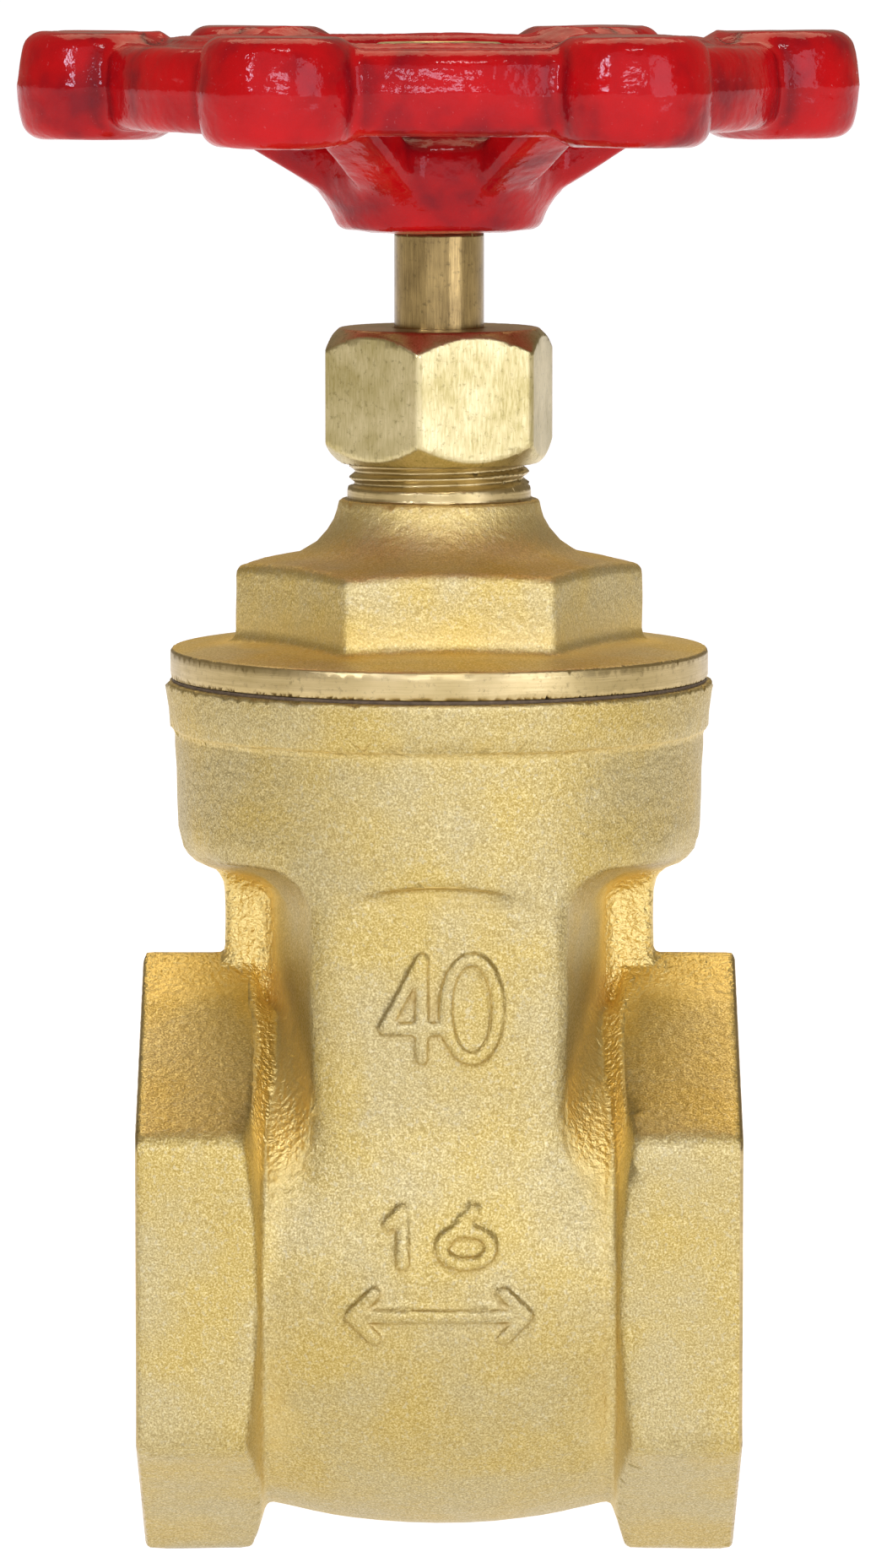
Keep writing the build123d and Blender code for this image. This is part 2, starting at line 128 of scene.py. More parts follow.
def screw(radius, angle, along, crest, root, pitch, turns=1):
    """Screw thread on a bar. turns is 1 for a right-hand thread and -1 for a left-hand one."""
    phase = along / pitch - turns * angle / TAU
    ridge = np.abs(phase - np.floor(phase) - 0.5) * 2
    profile = np.clip(0.5 + THREAD_STEEPNESS * (ridge - 0.5), 0.0, 1.0)
    flank = math.cos(math.atan2(2 * THREAD_STEEPNESS * (crest - root), pitch))
    return (radius - root - (crest - root) * profile) * flank


# ---- Meshes

def sampled(grid, field, points):
    """The field's value at each point, by trilinear interpolation."""
    place = (points - grid.low) / grid.step
    base = np.clip(np.floor(place).astype(int), 0, np.array(grid.shape) - 2)
    part = place - base
    value = np.zeros(len(points))
    for corner in np.ndindex(2, 2, 2):
        weight = np.prod(np.where(corner, part, 1 - part), axis=1)
        i, j, k = (base + corner).T
        value += weight * field[i, j, k]
    return value


def slope(grid, field, points):
    """The unit direction in which the field grows, at each point."""
    reach = 0.6 * grid.step
    steps = reach * np.eye(3)
    grown = [sampled(grid, field, points + s) - sampled(grid, field, points - s) for s in steps]
    direction = np.stack(grown, axis=1)
    return direction / np.maximum(np.linalg.norm(direction, axis=1, keepdims=True), 1e-9)


def crowding(grid, field, points, normals, reach):
    """How closely other surfaces crowd round each point: 0 in the open, 1 deep in a corner."""
    return np.clip(1.0 - sampled(grid, field, points + normals * reach) / reach, 0.0, 1.0)


def exposure(grid, field, points, normals, reach):
    """How sharply the surface turns away round each point: 0 on a flat, 1 on a thin edge."""
    return np.clip(1.0 + sampled(grid, field, points - normals * reach) / reach, 0.0, 1.0)


RECESS_REACH = 5.0
CREASE_REACH = 0.8
CREST_REACH = 0.9


def build_piece(name, node, grid, field, materials, relief=None, zone=None, painted_glow=None, merging=0.1):
    """Mesh of the field's surface, standing for a CAD node, on that node's body.

    relief(points, normals) gives how far each point stands proud of the field's surface,
    zone(points) gives which of the materials covers each face, from its centre, and
    the painted-glow function, called with the points and their recess, gives how far the painted bounce
    light of the hollows is let in, from how deep each point lies.
    merging is how freely small faces are joined where the surface is nearly flat.
    """
    band = 3 * grid.step
    volume = openvdb.FloatGrid(band)
    field = np.ascontiguousarray(np.broadcast_to(field, grid.shape), dtype=np.float32)
    volume.copyFromArray(np.clip(field, -band, band))
    points, triangles, quads = volume.convertToPolygons(isovalue=0.0, adaptivity=merging)
    points = points.astype(float) * grid.step + grid.low
    for _ in range(2):
        points -= slope(grid, field, points) * sampled(grid, field, points)[:, None]
    normals = slope(grid, field, points)
    tones = {"recess": crowding(grid, field, points, normals, RECESS_REACH),
             "crease": crowding(grid, field, points, normals, CREASE_REACH),
             "crest": exposure(grid, field, points, normals, CREST_REACH)}
    tones["crease"] *= 1.0 - tones["recess"]
    # painted bounce light: the glow function sets where the hollows' painted gold is let in
    if painted_glow is not None:
        tones["recess"] = painted_glow(points, tones["recess"])
    if relief is not None:
        points += normals * relief(points, normals)[:, None]

    mesh = bpy.data.meshes.new(name)
    mesh.from_pydata((points * MM).tolist(), [], triangles.tolist() + quads.tolist())
    for material in materials:
        mesh.materials.append(material)
    if zone is not None:
        centres = np.concatenate([points[triangles].mean(axis=1), points[quads].mean(axis=1)])
        mesh.polygons.foreach_set("material_index", zone(centres).astype(np.int32))
    for tone, value in tones.items():
        mesh.attributes.new(tone, "FLOAT", "POINT").data.foreach_set("value", value.astype(np.float32))
    mesh.validate()
    mesh.shade_smooth()
    mesh.normals_split_custom_set_from_vertices(normals.tolist())
    piece = bpy.data.objects.new(name, mesh)
    bpy.context.scene.collection.objects.link(piece)
    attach(piece, BODY_OF[node])
    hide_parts(node)
    return piece


BODY_OF = {node: body for body, nodes in frame["record"]["behaviour"]["bodies"].items() for node in nodes}


# ---- Materials

def new_material(name):
    """A material with a Principled shader, its node tree and that shader."""
    material = bpy.data.materials.new(name)
    material.use_nodes = True
    tree = material.node_tree
    return material, tree, tree.nodes["Principled BSDF"]


def place_in_mm(tree, stretch=(1.0, 1.0, 1.0)):
    """Object coordinates in millimetres, divided by stretch along each axis."""
    where = tree.nodes.new("ShaderNodeTexCoord")
    scaled = tree.nodes.new("ShaderNodeMapping")
    scaled.inputs["Scale"].default_value = [1 / (MM * s) for s in stretch]
    tree.links.new(where.outputs["Object"], scaled.inputs["Vector"])
    return scaled.outputs["Vector"]


def noise(tree, vector, size, detail=2.0, roughness=0.5):
    """Noise whose features are about size millimetres across."""
    node = tree.nodes.new("ShaderNodeTexNoise")
    node.inputs["Scale"].default_value = 1 / size
    node.inputs["Detail"].default_value = detail
    node.inputs["Roughness"].default_value = roughness
    tree.links.new(vector, node.inputs["Vector"])
    return node.outputs["Fac"]


def ramp(tree, value, stops):
    """Colour or grey looked up from value; stops are (position, colour)."""
    node = tree.nodes.new("ShaderNodeValToRGB")
    elements = node.color_ramp.elements
    while len(elements) < len(stops):
        elements.new(0.5)
    for element, (position, colour) in zip(elements, stops):
        element.position = position
        element.color = (*colour, 1.0) if isinstance(colour, tuple) else (colour, colour, colour, 1.0)
    tree.links.new(value, node.inputs["Fac"])
    return node.outputs["Color"]


def blended(tree, factor, a, b):
    """Colour a where factor is 0 and b where it is 1; each is a colour or a socket."""
    node = tree.nodes.new("ShaderNodeMix")
    node.data_type = "RGBA"
    first_colour, second_colour = node.inputs[6], node.inputs[7]
    for socket, value in ((node.inputs["Factor"], factor), (first_colour, a), (second_colour, b)):
        if isinstance(value, tuple):
            socket.default_value = (*value, 1.0)
        elif isinstance(value, float):
            socket.default_value = value
        else:
            tree.links.new(value, socket)
    return node.outputs[2]


def tone(tree, name, low, high):
    """One of the tones that build_piece measures, stretched so that low gives 0 and high gives 1."""
    stored = tree.nodes.new("ShaderNodeAttribute")
    stored.attribute_name = name
    stretch = tree.nodes.new("ShaderNodeMapRange")
    stretch.inputs["From Min"].default_value = low
    stretch.inputs["From Max"].default_value = high
    tree.links.new(stored.outputs["Fac"], stretch.inputs["Value"])
    return stretch.outputs["Result"]


def product(tree, a, b):
    """The two values multiplied together."""
    node = tree.nodes.new("ShaderNodeMath")
    node.operation = "MULTIPLY"
    tree.links.new(a, node.inputs[0])
    tree.links.new(b, node.inputs[1])
    return node.outputs[0]


def bumped(tree, shader, layers):
    """Bump from (height socket, depth in millimetres) layers, the last on top."""
    normal = None
    for height, depth in layers:
        bump = tree.nodes.new("ShaderNodeBump")
        bump.inputs["Distance"].default_value = depth * MM
        tree.links.new(height, bump.inputs["Height"])
        if normal is not None:
            tree.links.new(normal, bump.inputs["Normal"])
        normal = bump.outputs["Normal"]
    tree.links.new(normal, shader.inputs["Normal"])
    tree.links.new(normal, shader.inputs["Coat Normal"])


def cast_brass(name, shade=0.99, contrast=0.54, rough=(0.54, 0.34)):
    """Shot-blasted sand casting: fine bright grain, painted bounce light lightening the hollows to gold,
    painted shade darkening the creases brown, rubbed edges.
    """
    material, tree, shader = new_material(name)
    where = place_in_mm(tree)
    grain = noise(tree, where, 0.20, 2.0, 0.6)
    flecks = noise(tree, where, 0.45, 2.0)
    pits = noise(tree, where, 0.95, 2.0)
    patches = noise(tree, where, 9.0, 3.0)
    lumps = noise(tree, where, 0.6, 2.0)
    hollow = tone(tree, "recess", 0.03, 0.60)
    deep = tone(tree, "recess", 0.25, 0.75)

    def brass(red, green, blue):
        """The colour, as bright as this casting is."""
        return red * shade, green * shade, blue * shade

    colour = ramp(tree, patches, [(0.38, brass(0.49, 0.41, 0.212)), (0.62, brass(0.54, 0.39, 0.092))])
    speckle = ramp(tree, grain, [(0.32, brass(0.27, 0.19, 0.055)), (0.50, brass(0.48, 0.375, 0.143)),
                                 (0.68, brass(0.82, 0.71, 0.37))])
    colour = blended(tree, contrast, colour, speckle)
    colour = blended(tree, ramp(tree, flecks, [(0.57, 0.0), (0.70, 0.4)]), colour, brass(0.60, 0.55, 0.37))
    # painted bounce light: the hollows are lightened to a saturated gold
    colour = blended(tree, hollow, colour, brass(0.86, 0.66, 0.24))
    # painted shade: the creases are darkened to brown
    colour = blended(tree, tone(tree, "crease", 0.10, 0.60), colour, brass(0.46, 0.33, 0.12))
    colour = blended(tree, tone(tree, "crest", 0.30, 1.10), colour, brass(0.76, 0.64, 0.35))
    tree.links.new(colour, shader.inputs["Base Color"])
    shader.inputs["Metallic"].default_value = 1.0
    tree.links.new(ramp(tree, grain, [(0.3, rough[0]), (0.75, rough[1])]), shader.inputs["Roughness"])
    bumped(tree, shader, [(pits, 0.14), (grain, 0.05), (product(tree, lumps, deep), 0.75)])
    return material


def machined_brass(name, streak, rough, low, high):
    """Cut or drawn brass with fine tool marks; streak is their length along each axis in millimetres."""
    material, tree, shader = new_material(name)
    marks = noise(tree, place_in_mm(tree, streak), 1.0, 4.0, 0.6)
    where = place_in_mm(tree)
    patches = noise(tree, where, 5.0, 3.0)
    spots = noise(tree, where, 0.6, 4.0, 0.7)
    colour = blended(tree, 0.55, ramp(tree, marks, [(0.3, low), (0.7, high)]),
                     ramp(tree, patches, [(0.35, low), (0.65, high)]))
    stain_and_crease_shade = tuple(channel * 0.55 for channel in low)
    colour = blended(tree, ramp(tree, spots, [(0.56, 0.0), (0.72, 0.7)]), colour, stain_and_crease_shade)
    # painted shade: the creases are darkened with the stains' dark colour
    colour = blended(tree, tone(tree, "crease", 0.15, 0.9), colour, stain_and_crease_shade)
    tree.links.new(colour, shader.inputs["Base Color"])
    shader.inputs["Metallic"].default_value = 1.0
    tree.links.new(ramp(tree, marks, [(0.25, rough[1]), (0.75, rough[0])]), shader.inputs["Roughness"])
    bumped(tree, shader, [(marks, 0.012)])
    return material


def red_enamel(name):
    """Gloss red paint over a cast surface, with painted shade darkening the hollows, and rubbed pink along
    the edges.
    """
    material, tree, shader = new_material(name)
    where = place_in_mm(tree)
    swell = noise(tree, where, 3.5, 2.0)
    runs = noise(tree, where, 0.9, 2.0)
    grit = noise(tree, where, 0.55, 2.0)
    hollow = tone(tree, "recess", 0.04, 0.6)
    dust = noise(tree, where, 0.5, 3.0, 0.7)
    patches = noise(tree, where, 6.0, 3.0)
    colour = ramp(tree, patches, [(0.32, (0.21, 0.003, 0.007)), (0.5, (0.37, 0.003, 0.005)),
                                  (0.7, (0.45, 0.003, 0.005))])
    # painted shade: the hollows are darkened to a deep red
    colour = blended(tree, hollow, colour, (0.11, 0.003, 0.006))
    rubbed = product(tree, tone(tree, "crest", 0.18, 0.75), ramp(tree, dust, [(0.42, 0.0), (0.62, 0.8)]))
    colour = blended(tree, rubbed, colour, (0.72, 0.36, 0.36))
    colour = blended(tree, ramp(tree, dust, [(0.67, 0.0), (0.76, 0.3)]), colour, (0.62, 0.26, 0.26))
    tree.links.new(colour, shader.inputs["Base Color"])
    tree.links.new(ramp(tree, patches, [(0.3, 0.16), (0.8, 0.28)]), shader.inputs["Roughness"])
    shader.inputs["Specular IOR Level"].default_value = 0.03
    shader.inputs["Coat Weight"].default_value = 0.32
    shader.inputs["Coat Roughness"].default_value = 0.02
    bumped(tree, shader, [(swell, 0.28), (runs, 0.06), (dust, 0.015), (product(tree, grit, hollow), 0.12)])
    return material


def soft_material(name, low, high, size, rough, depth):
    """Matt material with a mottled tone, such as packing or fibre."""
    material, tree, shader = new_material(name)
    mottle = noise(tree, place_in_mm(tree), size, 3.0)
    tree.links.new(ramp(tree, mottle, [(0.3, low), (0.7, high)]), shader.inputs["Base Color"])
    shader.inputs["Roughness"].default_value = rough
    bumped(tree, shader, [(mottle, depth)])
    return material


def plated_steel(name):
    """Zinc plate with a faint mottle."""
    material, tree, shader = new_material(name)
    mottle = noise(tree, place_in_mm(tree), 0.8, 3.0)
    tree.links.new(ramp(tree, mottle, [(0.3, (0.55, 0.56, 0.58)), (0.7, (0.72, 0.73, 0.74))]),
                   shader.inputs["Base Color"])
    shader.inputs["Metallic"].default_value = 1.0
    tree.links.new(ramp(tree, mottle, [(0.3, 0.40), (0.7, 0.28)]), shader.inputs["Roughness"])
    bumped(tree, shader, [(mottle, 0.01)])
    return material


CAST = cast_brass("cast_brass")
BONNET_CAST = cast_brass("cast_brass_fine", 1.16, 0.40, (0.62, 0.42))
WEDGE_CAST = cast_brass("cast_brass_plain", 0.92)
TURNED = machined_brass("turned_brass", (6.0, 6.0, 0.16), (0.26, 0.40),
                        (0.43, 0.33, 0.14), (0.61, 0.48, 0.24))
DRAWN = machined_brass("drawn_brass", (0.2, 0.2, 1.4), (0.28, 0.42),
                       (0.38, 0.31, 0.11), (0.69, 0.59, 0.33))
STEM_BRASS = machined_brass("stem_brass", (0.18, 0.18, 3.0), (0.15, 0.25),
                            (0.15, 0.10, 0.04), (0.37, 0.26, 0.10))
RED = red_enamel("red_enamel")
PTFE = soft_material("ptfe", (0.80, 0.80, 0.78), (0.90, 0.90, 0.88), 0.8, 0.5, 0.02)
FIBRE = soft_material("fibre", (0.07, 0.045, 0.025), (0.13, 0.09, 0.05), 0.5, 0.8, 0.05)
ZINC = plated_steel("zinc_steel")


# ---- Threads: crest radius, root radius and pitch

PORT_THREAD = (23.7, 22.4, 2.209)
SKIRT_THREAD = (24.5, 23.6, 1.5)
PACKING_NUT_THREAD = (9.45, 8.75, 1.25)
STEM_THREAD = (4.5, 3.3, 3.0)
WEDGE_THREAD = (4.6, 3.45, 3.0)
STEM_END_THREAD = (4.0, 3.35, 1.25)
LEFT_HAND = -1


# ---- Body

BODY_LOW, BODY_HIGH = box_mm("body")
END_X = BODY_HIGH[0]
RIM_TOP = BODY_HIGH[2]
HEX_FLAT = 27.8
HEX_INNER_X = 18.6
BARREL_R = 28.6
BARREL_HALF_X = 19.6
COLUMN_Y = 25.9
COLUMN_X = 12.6
COLUMN_BOW_R = 70.0
COLUMN_SIDE = Vector((23.4, 5.0)).normalized()
LEDGE_BOW_R = 33.0
WEB_X = 22.4
WEB_Y = 2.5
NECK_BOTTOM = 41.4
NECK_LOW_R = 27.2
NECK_HIGH_R = 27.6
RIM_BOTTOM = 55.6
RIM_LOW_R = 28.1
RIM_HIGH_R = 28.64
CHAMBER_R = 21.5
CHAMBER_HALF_X = 10.2
CHAMBER_TOP = 48.5
THROAT_R = 21.8
MOUTH_R = 24.55
MOUTH_BOTTOM = 49.6
SEAT_R = 20.8
SEAT_X = 7.9
SEAT_LEAN = math.radians(5.0)
RIB_HALF_X = 1.5
RIB_Y = 19.2
WATERWAY_R = 18.0
PORT_BOTTOM_X = 14.1
PORT_MOUTH_R = 24.3
PIPE_TAPER = 1 / 32
TURNED_R = 25.2                # machined surfaces lie within this distance of the axis
MARK_HEIGHT = 0.55
MARK_HALF_WIDTH = 0.66


def stroke(x, z, a, b):
    """Distance in the front view from the straight stroke between a and b."""
    along = np.array(b) - np.array(a)
    share = np.clip(((x - a[0]) * along[0] + (z - a[1]) * along[1]) / (along @ along), 0.0, 1.0)
    return np.sqrt((x - a[0] - share * along[0]) ** 2 + (z - a[1] - share * along[1]) ** 2)


def loop(x, z, centre, half_x, half_z):
    """Distance in the front view from an upright oval line."""
    u = (x - centre[0]) / half_x
    v = (z - centre[1]) / half_z
    reach = np.sqrt(u * u + v * v)
    turn = np.sqrt((u / half_x) ** 2 + (v / half_z) ** 2)
    return np.abs(reach * (reach - 1.0)) / np.maximum(turn, 1e-6)


def figure_40(x, z, left, low, width, height):
    """The figures 40, the nominal size, as a line drawing."""
    each = width * 0.46
    bar = low + height * 0.3
    four = np.minimum(stroke(x, z, (left + each * 0.72, low), (left + each * 0.72, low + height)),
                      stroke(x, z, (left + each * 0.72, low + height), (left, bar)))
    four = np.minimum(four, stroke(x, z, (left, bar), (left + each, bar)))
    nought = loop(x, z, (left + width - each / 2, low + height / 2), each / 2, height / 2)
    return np.minimum(four, nought)


def figure_16(x, z, left, low, width, height):
    """The figures 16, the pressure class, as a line drawing."""
    one = left + width * 0.16
    line = np.minimum(stroke(x, z, (one, low), (one, low + height)),
                      stroke(x, z, (one, low + height), (one - width * 0.12, low + height * 0.74)))
    centre = left + width * 0.72
    half = width * 0.22
    bowl = loop(x, z, (centre, low + height * 0.31), half, height * 0.31)
    tail = stroke(x, z, (centre - half * 0.92, low + height * 0.38), (centre + half * 0.3, low + height))
    return np.minimum(line, np.minimum(bowl, tail))


def flow_arrow(x, z, half_length, height):
    """A double-ended arrow along the flow, as a line drawing centred on the stem."""
    head = 2.4
    line = stroke(x, z, (-half_length, height), (half_length, height))
    for end in (-half_length, half_length):
        back = end - math.copysign(head, end)
        for lift in (-head, head):
            line = np.minimum(line, stroke(x, z, (end, height), (back, height + lift)))
    return line


def body_marks(g):
    """Front-view distance from the raised marks' centre lines."""
    width = 11.6
    left = -5.6
    size = figure_40(g.x, g.z, left, low=24.2, width=width, height=10.2)
    rating = figure_16(g.x, g.z, left, low=3.4, width=width, height=5.4)
    arrow = flow_arrow(g.x, g.z, half_length=9.0, height=-2.0)
    return np.minimum(size, np.minimum(rating, arrow))


def blend(value, low, high):
    """Climbs smoothly from 0 at low to 1 at high."""
    share = np.clip((value - low) / (high - low), 0.0, 1.0)
    return share * share * (3.0 - 2.0 * share)


def upper_body(g):
    """Neck carried down as one round bar, less the bowed fronts and the four corner pockets."""
    away_x = np.abs(g.x)
    away_y = np.abs(g.y)
    neck_r = np.interp(g.z, [NECK_BOTTOM, RIM_BOTTOM], [NECK_LOW_R, NECK_HIGH_R]).astype(np.float32)
    bar = np.maximum(g.around_stem - neck_r, slab(g.z, 0.0, RIM_TOP))

    ledge = g.z - NECK_BOTTOM - 0.5 + away_x ** 2 / (2 * LEDGE_BOW_R)
    front = COLUMN_Y - away_x ** 2 / (2 * COLUMN_BOW_R) - away_y
    bar = cut(bar, meet(ledge, front, 1.1), 0.3)

    side = (away_x - COLUMN_X) * COLUMN_SIDE.x + (away_y - COLUMN_Y) * COLUMN_SIDE.y
    web = meet(away_x - WEB_X, away_y - WEB_Y, 1.2)
    roof_grade = 0.28
    roof = g.z - NECK_BOTTOM - blend(away_y, 2.0, 10.0) - roof_grade * (g.around_stem - 25.0)
    pocket = meet(meet(-side, -web, 1.6), roof, 2.0 + 2.4 * blend(away_y, 6.0, 14.0))
    mouth = 0.7 + 1.9 * blend(away_x, 22.0, 25.0) * blend(g.z, NECK_BOTTOM - 3.0, NECK_BOTTOM)
    bar = cut(bar, pocket, mouth)

    rim_r = np.interp(g.z, [RIM_BOTTOM, RIM_TOP], [RIM_LOW_R, RIM_HIGH_R]).astype(np.float32)
    rim = meet(meet(g.around_stem - rim_r, RIM_BOTTOM - g.z, 0.25), g.z - RIM_TOP, 0.1)
    return join(bar, rim, 0.3)


def body_outside(g):
    """Bellied barrel, upper body and the two hexagonal ends."""
    away_x = np.abs(g.x)
    ends = hexagon(g.y, g.z, HEX_FLAT, 1.2)
    inner_grade = 0.33
    inner_x = HEX_INNER_X + inner_grade * (g.around_flow - HEX_FLAT)
    inner = (inner_x - away_x) * math.cos(math.atan(inner_grade))
    ends = meet(meet(ends, away_x - END_X, 0.7), inner, 0.6)

    belly = g.around_flow - (BARREL_R - 2.2 * (away_x / 17.0) ** 2)
    shape = join(np.maximum(belly, away_x - BARREL_HALF_X), upper_body(g), 3.0)
    deep_corner = blend(g.z, 17.0, 27.0) * blend(np.abs(g.y), 3.0, 9.0)
    return join(shape, ends, 0.8 + 2.0 * deep_corner)


def body_inside(g):
    """Everything that is hollow: chamber, bonnet thread, waterway and end threads."""
    away_x = np.abs(g.x)
    away_y = np.abs(g.y)
    slot = meet(away_x - CHAMBER_HALF_X, away_y - CHAMBER_R, 3.0)
    slot = np.maximum(slot, slab(g.z, 0.0, CHAMBER_TOP))
    chamber = join(slot, np.maximum(g.around_flow - CHAMBER_R, away_x - CHAMBER_HALF_X))
    throat = np.maximum(g.around_stem - THROAT_R, slab(g.z, NECK_BOTTOM + 3.0, MOUTH_BOTTOM + 0.1))
    mouth = np.maximum(g.around_stem - MOUTH_R, MOUTH_BOTTOM - g.z)
    hollow = join(join(chamber, throat, 1.0), mouth)

    seats = np.maximum(g.around_flow - SEAT_R, SEAT_X + g.z * math.tan(SEAT_LEAN) - away_x)
    ribs = np.maximum(away_x - RIB_HALF_X, np.maximum(RIB_Y - away_y, slab(g.z, -9.0, CHAMBER_TOP - 1.0)))
    hollow = cut(cut(hollow, seats, 0.3), ribs, 0.4)
    hollow = join(hollow, np.maximum(g.around_flow - WATERWAY_R, away_x - END_X - 1.0))

    angle = np.arctan2(g.y, g.z)
    taper = (away_x - PORT_BOTTOM_X) * PIPE_TAPER
    port = screw(g.around_flow - taper, angle * np.sign(g.x), away_x, *PORT_THREAD)
    lead = (g.around_flow - PORT_MOUTH_R - (away_x - END_X)) * math.cos(math.pi / 4)
    port = np.maximum(join(port, lead), PORT_BOTTOM_X - away_x)
    return join(hollow, port)


def body_relief(points, normals):
    """Soft unevenness of the casting and the seam left by the two halves of the mould."""
    x, y, z = points.T
    uneven = (np.sin(x * 0.55 + 1.3) * np.sin(z * 0.47 + 0.4) + np.sin(y * 0.61 + x * 0.23 + 2.1)
              + np.sin(z * 0.83 - y * 0.37)) * 0.03
    inner = (np.hypot(y, z) < TURNED_R) & (np.abs(x) > PORT_BOTTOM_X - 0.1)
    inner |= (np.hypot(x, y) < TURNED_R) & (z > NECK_BOTTOM - 1.4)
    inner |= (np.abs(x) < CHAMBER_HALF_X + 1) & (np.abs(y) < CHAMBER_R + 1) & (np.abs(z - 14.0) < 36.0)
    end_face = np.abs(normals[:, 0]) * (np.abs(x) > END_X - 0.5)
    rim_face = z > RIM_TOP - 0.5
    cast = np.where(inner | (end_face > 0.5) | rim_face, 0.0, 1.0)
    seam = 0.12 * np.exp(-(y / 0.35) ** 2)
    return cast * (uneven + seam)


def body_zone(points):
    """1 where the casting is machined: end faces, ports, seats and the neck's thread and rim."""
    x, y, z = points.T
    ports = (np.hypot(y, z) < TURNED_R) & (np.abs(x) > PORT_BOTTOM_X - 0.2)
    seats = (np.hypot(y, z) < SEAT_R + 0.1) & (np.abs(x) > SEAT_X - 0.9)
    mouth = (np.hypot(x, y) < TURNED_R) & (z > MOUTH_BOTTOM - 0.2)
    return (np.abs(x) > END_X - 0.35) | ports | seats | mouth | (z > RIM_TOP - 0.05)


def body_painted_glow(points, recess):
    """The painted bounce light of the hollows fills the pockets beside the column and is faint down the
    barrel.
    """
    x, y, z = points.T
    pocket = 0.4 + 0.6 * blend(z, 8.0, 16.0)
    across = blend(np.abs(x), 14.0, 17.0) * (1.0 - blend(np.abs(y), 4.0, 9.0))
    web = across * blend(z, 24.0, 28.0) * (1.0 - blend(z, 40.5, 43.0))
    return np.maximum(recess * pocket, 0.52 * web)


def build_body():
    """Body casting with the raised marks on the front of its column."""
    g = Grid(BODY_LOW, BODY_HIGH, 0.385)
    outside = body_outside(g)
    lines = body_marks(g) - MARK_HALF_WIDTH
    front_half = g.y + 20.0
    raised = meet(meet(outside - MARK_HEIGHT, lines, 0.3), front_half)
    outside = join(outside, raised, 0.3)
    field = cut(outside, body_inside(g), 0.25)
    return build_piece("valve_body_casting", "body", g, field, [CAST, TURNED], body_relief, body_zone,
                       body_painted_glow)


# ---- Bonnet

BONNET_LOW, BONNET_HIGH = box_mm("bonnet")
FLANGE_BOTTOM = box_mm("bonnet_gasket")[1][2]
FLANGE_R = BONNET_HIGH[0]
FLANGE_TOP = 64.0
BONNET_HEX_FLAT = 18.6
BONNET_HEX_TURN = 3.4
BONNET_HEX_TOP = 72.8
BONNET_NECK_R = 10.46
BONNET_NECK_TOP = 79.6
BONNET_DOME_TOP = 69.6
SPIGOT_BAND_R = 9.6
SPIGOT_BAND_TOP = 81.0
STEM_HOLE_R = 4.75
STUFFING_BOX_R = 6.8
STUFFING_BOX_BOTTOM = 76.5


def bonnet_field(g):
    """Flange, hexagon and neck, screwed at both ends, domed inside and bored for stem and packing."""
    flange_grade = 0.12
    flange_top = g.z - FLANGE_TOP - (FLANGE_R - g.around_stem) * flange_grade
    flange = meet(g.around_stem - FLANGE_R, flange_top * math.cos(math.atan(flange_grade)), 0.25)
    flange = meet(flange, FLANGE_BOTTOM - g.z)
    bar = hexagon(g.x, g.y, BONNET_HEX_FLAT, 0.5, BONNET_HEX_TURN - 90.0)
    crown_grade = 0.18
    crown = g.z - BONNET_HEX_TOP - (BONNET_HEX_FLAT + 2.0 - g.around_stem) * crown_grade
    bar = meet(bar, crown * math.cos(math.atan(crown_grade)), 0.95)
    bar = np.maximum(bar, FLANGE_BOTTOM - g.z)
    neck = meet(g.around_stem - BONNET_NECK_R, slab(g.z, FLANGE_BOTTOM, BONNET_NECK_TOP), 0.35)
    shape = join(join(flange, bar, 1.1), neck, 5.4)

    angle = np.arctan2(g.y, g.x)
    thread = screw(g.around_stem, angle, g.z, *PACKING_NUT_THREAD)
    thread = meet(thread, g.z - BONNET_HIGH[2], 0.3)
    band = meet(g.around_stem - SPIGOT_BAND_R, g.z - SPIGOT_BAND_TOP, 0.15)
    screwed = np.maximum(join(thread, band), BONNET_NECK_TOP - 0.6 - g.z)
    skirt = meet(screw(g.around_stem, angle, g.z, *SKIRT_THREAD), BONNET_LOW[2] - g.z, 0.3)
    skirt = np.maximum(skirt, g.z - FLANGE_BOTTOM - 0.5)
    shape = join(join(shape, skirt), screwed)

    dome_r = np.interp(g.z, [54.0, 62.5, 64.8], [21.8, 10.5, 8.2]).astype(np.float32)
    dome = np.maximum((g.around_stem - dome_r) * 0.7, g.z - BONNET_DOME_TOP)
    hollow = join(dome, g.around_stem - STEM_HOLE_R)
    hollow = join(hollow, np.maximum(g.around_stem - STUFFING_BOX_R, STUFFING_BOX_BOTTOM - g.z))
    return cut(shape, hollow, 0.2)


def bonnet_relief(points, _normals):
    """Soft unevenness of the cast hexagon and neck; the flange's edge is turned."""
    x, y, z = points.T
    uneven = (np.sin(x * 0.7 + 0.3) * np.sin(y * 0.6 + 1.4) + np.sin(z * 0.9 + x * 0.4)) * 0.035
    cast = blend(z, FLANGE_TOP, FLANGE_TOP + 1.5) * (1.0 - blend(z, 76.0, 79.0))
    return np.where(np.hypot(x, y) > SPIGOT_BAND_R, uneven * cast, 0.0)


def bonnet_zone(points):
    """1 where the casting is machined: the flange's edge, both threads and the stuffing box."""
    x, y, z = points.T
    reach = np.hypot(x, y)
    spigot = (z > BONNET_NECK_TOP - 0.3) & (reach < BONNET_NECK_R - 0.46)
    return (reach > FLANGE_R - 0.2) | (z < FLANGE_BOTTOM + 0.3) | spigot


def bonnet_painted_glow(_points, recess):
    """The painted bounce light of the hollows stays faint all over the bonnet."""
    return 0.4 * recess


def build_bonnet():
    """Bonnet casting with a turned flange edge and cut threads."""
    g = Grid(BONNET_LOW, BONNET_HIGH, 0.28)
    return build_piece("bonnet_casting", "bonnet", g, bonnet_field(g), [BONNET_CAST, TURNED],
                       bonnet_relief, bonnet_zone, bonnet_painted_glow)


# ---- Packing nut and handwheel nut

